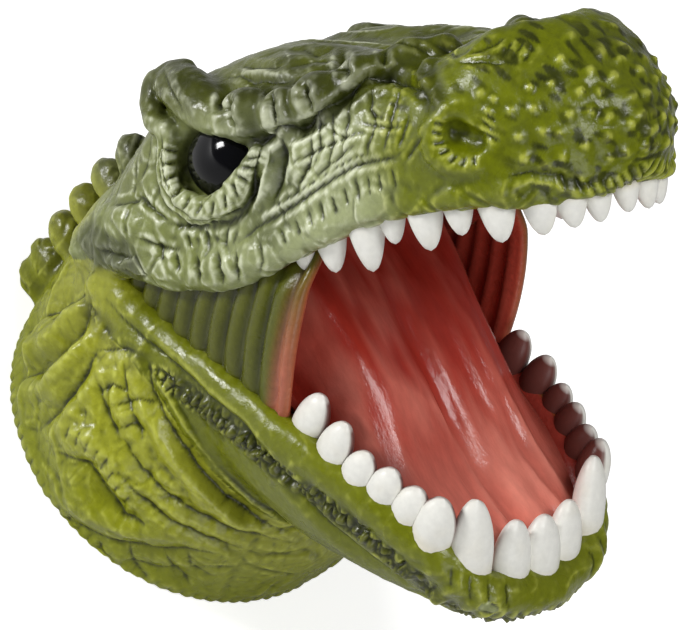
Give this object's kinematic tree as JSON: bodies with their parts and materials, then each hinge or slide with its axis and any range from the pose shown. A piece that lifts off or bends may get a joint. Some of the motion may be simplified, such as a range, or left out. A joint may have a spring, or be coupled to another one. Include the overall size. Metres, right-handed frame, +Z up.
{
  "type": "dinosaur hand puppet",
  "caption": "Hollow soft vinyl dinosaur head worn on the hand, with an open toothed mouth whose jaw the thumb moves and a neck that nods.",
  "frame": {"origin": "centre of the neck opening, in the plane of the rim that the puppet stands on", "axes": "+Z up along the neck, +X the way the snout points, +Y the animal's left"},
  "size_m": [0.1459, 0.1031, 0.1797],
  "materials": {
    "skin": "satin vinyl, sprayed and washed green",
    "mouth": "semi-gloss red vinyl",
    "teeth": "satin off-white vinyl",
    "eyes": "gloss black"
  },
  "bodies": {
    "neck": {"neck_sleeve": "skin", "neck_fold": "skin"},
    "head": {"skull_skin": "skin", "eye_right": "eyes", "eye_left": "eyes", "palate": "mouth", "mouth_lining": "mouth", "throat_fold": "skin", "cheek_web_right": "skin", "cheek_web_left": "skin", "upper_tooth_right_01": "teeth", "upper_tooth_right_02": "teeth", "upper_tooth_right_03": "teeth", "upper_tooth_right_04": "teeth", "upper_tooth_right_05": "teeth", "upper_tooth_right_06": "teeth", "upper_tooth_right_07": "teeth", "upper_tooth_right_08": "teeth", "upper_tooth_right_09": "teeth", "upper_tooth_right_10": "teeth", "upper_tooth_left_01": "teeth", "upper_tooth_left_02": "teeth", "upper_tooth_left_03": "teeth", "upper_tooth_left_04": "teeth", "upper_tooth_left_05": "teeth", "upper_tooth_left_06": "teeth", "upper_tooth_left_07": "teeth", "upper_tooth_left_08": "teeth", "upper_tooth_left_09": "teeth", "upper_tooth_left_10": "teeth", "upper_tooth_front": "teeth"},
    "jaw": {"jaw_skin": "skin", "mouth_floor": "mouth", "tongue": "mouth", "lower_tooth_right_1": "teeth", "lower_tooth_right_2": "teeth", "lower_tooth_right_3": "teeth", "lower_tooth_right_4": "teeth", "lower_tooth_right_5": "teeth", "lower_tooth_right_6": "teeth", "lower_tooth_right_7": "teeth", "lower_tooth_left_1": "teeth", "lower_tooth_left_2": "teeth", "lower_tooth_left_3": "teeth", "lower_tooth_left_4": "teeth", "lower_tooth_left_5": "teeth", "lower_tooth_left_6": "teeth", "lower_tooth_left_7": "teeth", "lower_tooth_front_1": "teeth", "lower_tooth_front_2": "teeth", "lower_tooth_front_3": "teeth"}
  },
  "joints": [
    {"name": "head_nod", "type": "hinge", "parent": "neck", "child": "head", "pos_m": [0, 0, 0.028], "axis": [0, 1, 0], "range_deg": [-8, 10], "stiffness_Nm_per_rad": 2.5, "deforming": ["neck_fold"]},
    {"name": "jaw_hinge", "type": "hinge", "parent": "head", "child": "jaw", "pos_m": [-0.0272, 0, 0.051], "axis": [0, 1, 0], "range_deg": [-20, 6], "stiffness_Nm_per_rad": 1.5, "deforming": ["throat_fold", "cheek_web_right", "cheek_web_left", "mouth_lining"]}
  ]
}
